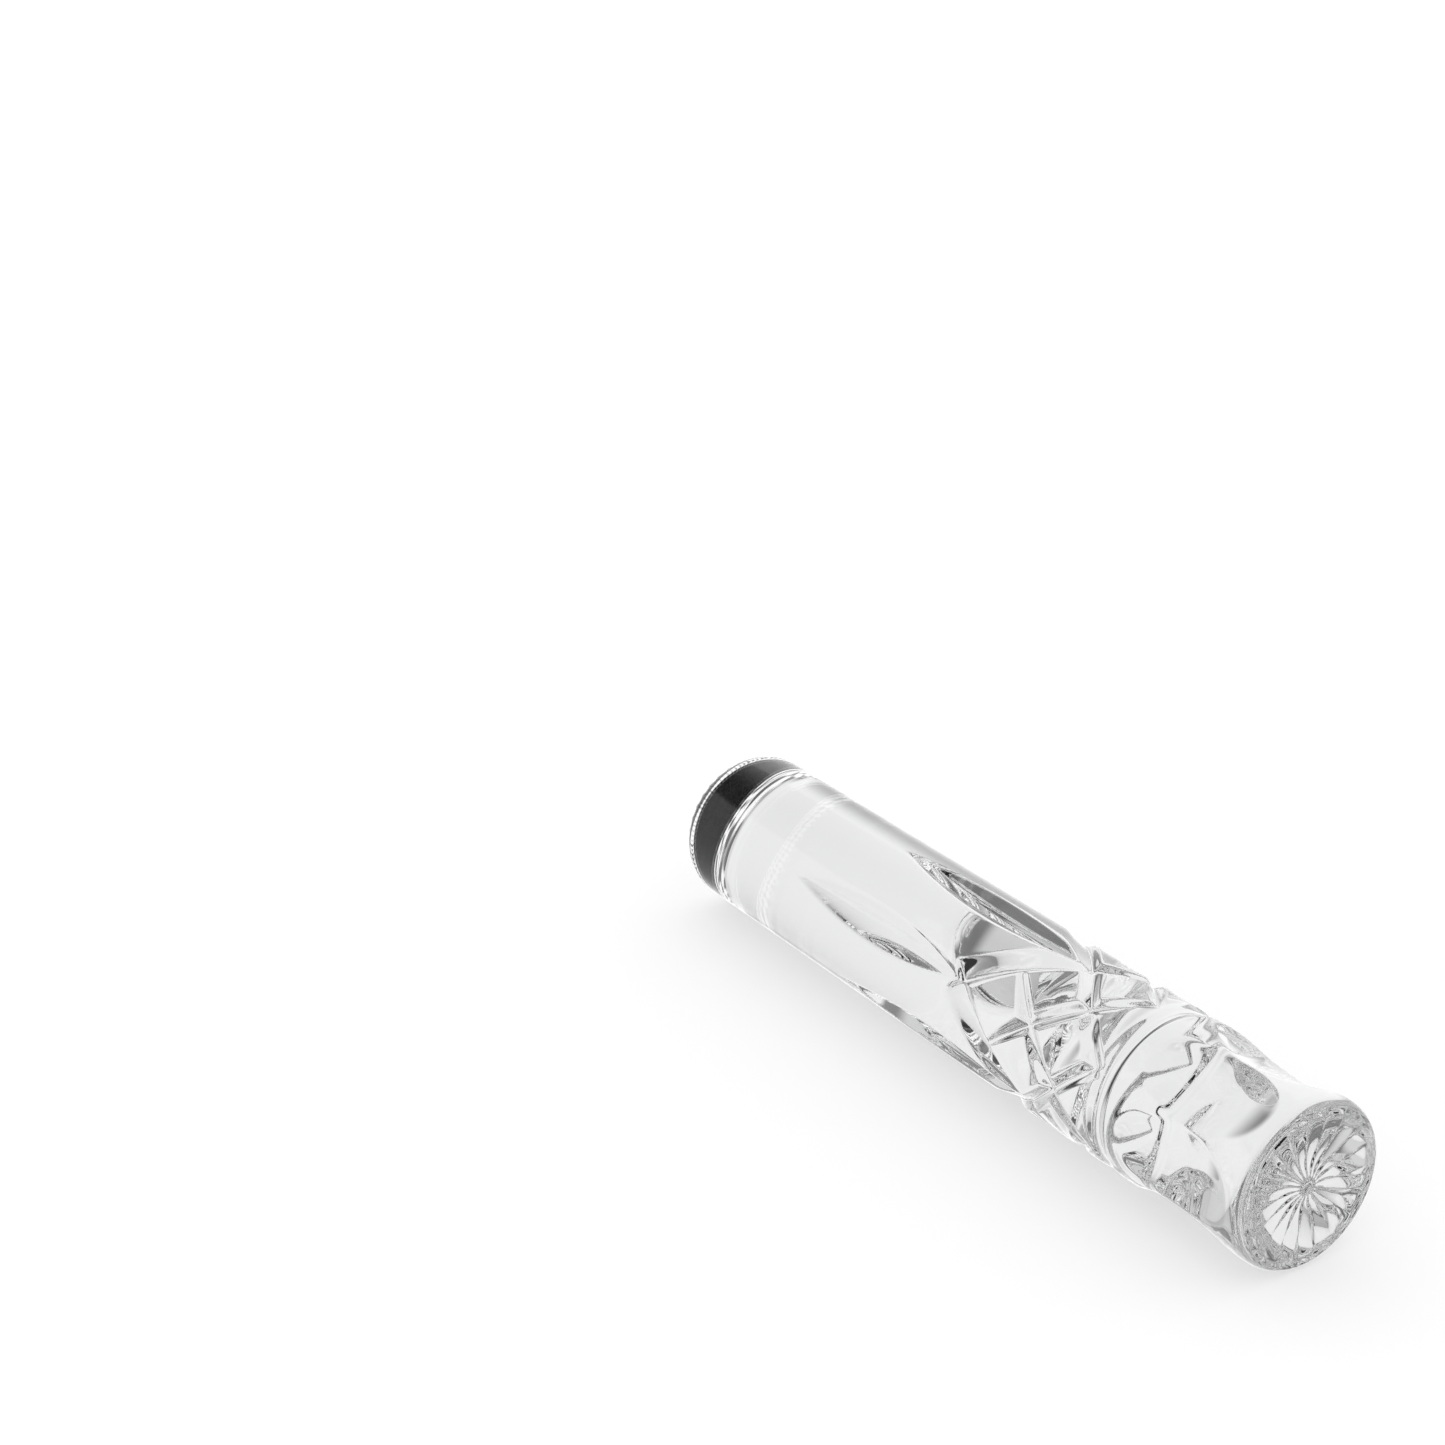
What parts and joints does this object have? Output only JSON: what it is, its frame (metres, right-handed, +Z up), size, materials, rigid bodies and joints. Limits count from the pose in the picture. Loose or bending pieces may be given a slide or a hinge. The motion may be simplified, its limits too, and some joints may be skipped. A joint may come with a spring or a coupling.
{
  "type": "guitar slide",
  "caption": "Solid cut-crystal slide bar glided over guitar strings, with leaf and net cuts, a hollow neck, a star-cut foot and a black end pad in a beaded ring.",
  "frame": {"origin": "on the resting plane, under the middle of the bar", "axes": "+X along the bar towards the star-cut foot, +Z up, +Y to the left of +X"},
  "size_m": [0.117, 0.022, 0.022],
  "materials": {
    "crystal": "polished lead crystal",
    "pad": "smooth black",
    "trim": "bright beaded"
  },
  "bodies": {
    "root": {"crystal_bar": "crystal", "end_pad": "pad", "bead_ring": "trim"}
  },
  "joints": []
}
